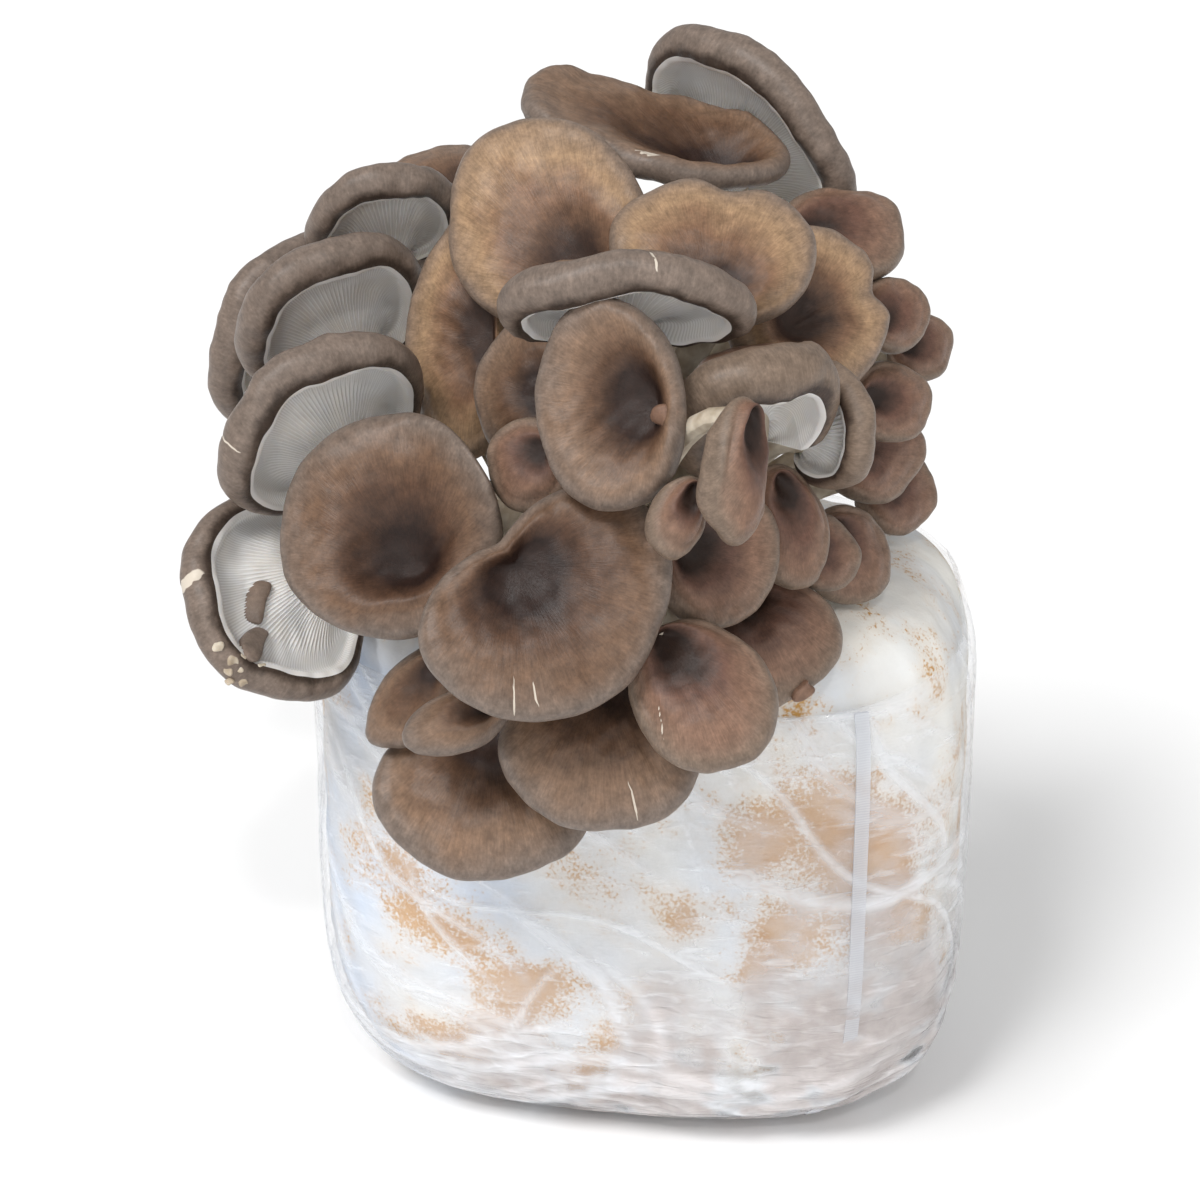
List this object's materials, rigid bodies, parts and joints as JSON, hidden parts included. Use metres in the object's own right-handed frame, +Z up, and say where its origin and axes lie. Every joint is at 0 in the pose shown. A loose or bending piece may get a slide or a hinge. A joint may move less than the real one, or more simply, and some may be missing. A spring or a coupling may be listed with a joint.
{
  "type": "oyster mushroom cluster",
  "caption": "Dense dome of brown oyster mushrooms with pale gills, growing from the top front of a white mycelium block in a clear plastic grow bag.",
  "frame": {"origin": "middle of the bag's flat bottom, on the surface it stands on", "axes": "+Z up, -Y the front that the cluster leans out over, +X to the right seen from the front"},
  "size_m": [0.2692, 0.2577, 0.3746],
  "materials": {
    "mushroom_cap": "satin brown skin over pale flesh, cool white gills",
    "mushroom_flesh": "matt pale fibrous flesh",
    "mycelium": "matt white mycelium over ochre sawdust",
    "bag_film": "clear wrinkled film",
    "seam_film": "doubled heat-sealed film"
  },
  "bodies": {
    "root": {"mushroom_crown_right": "mushroom_cap", "mushroom_crown_long": "mushroom_cap", "mushroom_top_ear": "mushroom_cap", "mushroom_top_heart": "mushroom_cap", "mushroom_back_dome": "mushroom_cap", "mushroom_upper_right": "mushroom_cap", "mushroom_hood_back": "mushroom_cap", "mushroom_hood_far": "mushroom_cap", "mushroom_hood_middle": "mushroom_cap", "mushroom_hood_low": "mushroom_cap", "mushroom_torn": "mushroom_cap", "mushroom_left_tall": "mushroom_cap", "mushroom_brow_hood": "mushroom_cap", "mushroom_centre_ear": "mushroom_cap", "mushroom_centre_left": "mushroom_cap", "mushroom_hook": "mushroom_cap", "mushroom_left_funnel": "mushroom_cap", "mushroom_front_big": "mushroom_cap", "mushroom_leaf": "mushroom_cap", "mushroom_slab": "mushroom_cap", "mushroom_right_round": "mushroom_cap", "mushroom_front_low": "mushroom_cap", "mushroom_front_lowest": "mushroom_cap", "mushroom_finger": "mushroom_cap", "mushroom_small_curl": "mushroom_cap", "mushroom_folded": "mushroom_cap", "mushroom_right_wide": "mushroom_cap", "mushroom_visor": "mushroom_cap", "mushroom_small_visor": "mushroom_cap", "mushroom_stub": "mushroom_cap", "mushroom_right_lobed": "mushroom_cap", "mushroom_edge_top": "mushroom_cap", "mushroom_edge_far": "mushroom_cap", "mushroom_edge_middle": "mushroom_cap", "mushroom_right_back": "mushroom_cap", "mushroom_right_corner": "mushroom_cap", "mushroom_right_leaf": "mushroom_cap", "mushroom_right_small": "mushroom_cap", "mushroom_right_low": "mushroom_cap", "cluster_base": "mushroom_flesh", "mycelium_block": "mycelium", "grow_bag_film": "bag_film", "gusset_seam": "seam_film"}
  },
  "joints": []
}
